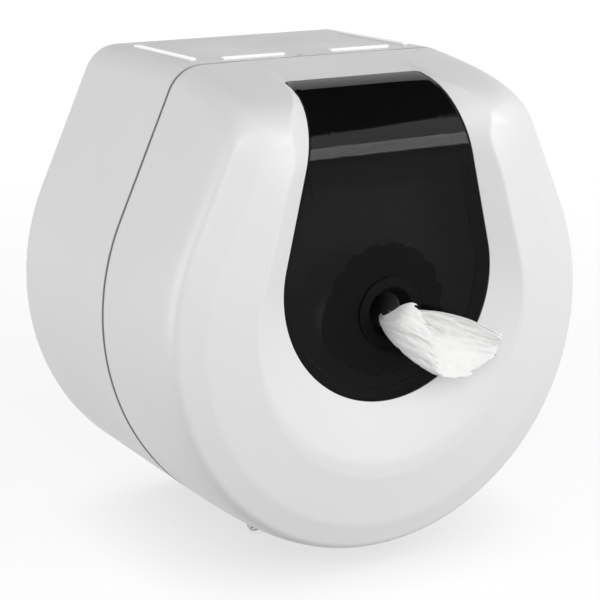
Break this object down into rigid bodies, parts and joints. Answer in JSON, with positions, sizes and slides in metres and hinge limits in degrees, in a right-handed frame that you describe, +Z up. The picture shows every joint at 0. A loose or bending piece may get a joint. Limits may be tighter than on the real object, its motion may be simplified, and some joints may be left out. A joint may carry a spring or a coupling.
{
  "type": "toilet paper dispenser",
  "caption": "Wall-hung centre-feed toilet paper dispenser: pear-shaped white case, hinged front cover with a dished smoked window and a round outlet, sprung key latch.",
  "frame": {"origin": "on the wall plane, at the centre of the four wall screws, which is the centre of the case's round lower half", "axes": "+Z up, +Y into the wall, the front faces -Y, +X to the right of someone facing the dispenser"},
  "size_m": [0.22, 0.1761, 0.229],
  "materials": {
    "case_white": "glossy moulded ABS",
    "strip_white": "glossy white",
    "smoked_window": "polished, dark smoked",
    "black_plastic": "satin black",
    "screw_steel": "zinc plated",
    "pin_steel": "satin steel",
    "spring_steel": "spring wire",
    "latch_plastic": "natural acetal",
    "tissue": "creped tissue"
  },
  "bodies": {
    "housing": {"rear_housing": "case_white", "side_strip_left": "strip_white", "side_strip_right": "strip_white", "front_strip_left": "strip_white", "front_strip_right": "strip_white", "hinge_pin_left": "pin_steel", "hinge_pin_right": "pin_steel", "hinge_clips": "pin_steel", "latch_guide": "latch_plastic", "guide_screws": "screw_steel", "latch_spring": "spring_steel", "paper_roll": "tissue"},
    "cover": {"front_cover": "case_white", "window": "smoked_window", "window_screws": "screw_steel", "outlet_cup": "black_plastic", "outlet_ring": "black_plastic", "latch_keeper": "pin_steel", "keeper_screws": "screw_steel", "tissue_tail": "tissue"},
    "latch": {"latch_slider": "latch_plastic"}
  },
  "joints": [
    {"name": "cover_hinge", "type": "hinge", "parent": "housing", "child": "cover", "pos_m": [0, -0.084, -0.112], "axis": [1, 0, 0], "range_deg": [0, 100]},
    {"name": "latch_slide", "type": "slide", "parent": "housing", "child": "latch", "axis": [0, 0, -1], "range_m": [0, 0.0048], "stiffness_N_per_m": 400, "springref_m": -0.003, "deforming": ["latch_spring"]}
  ]
}
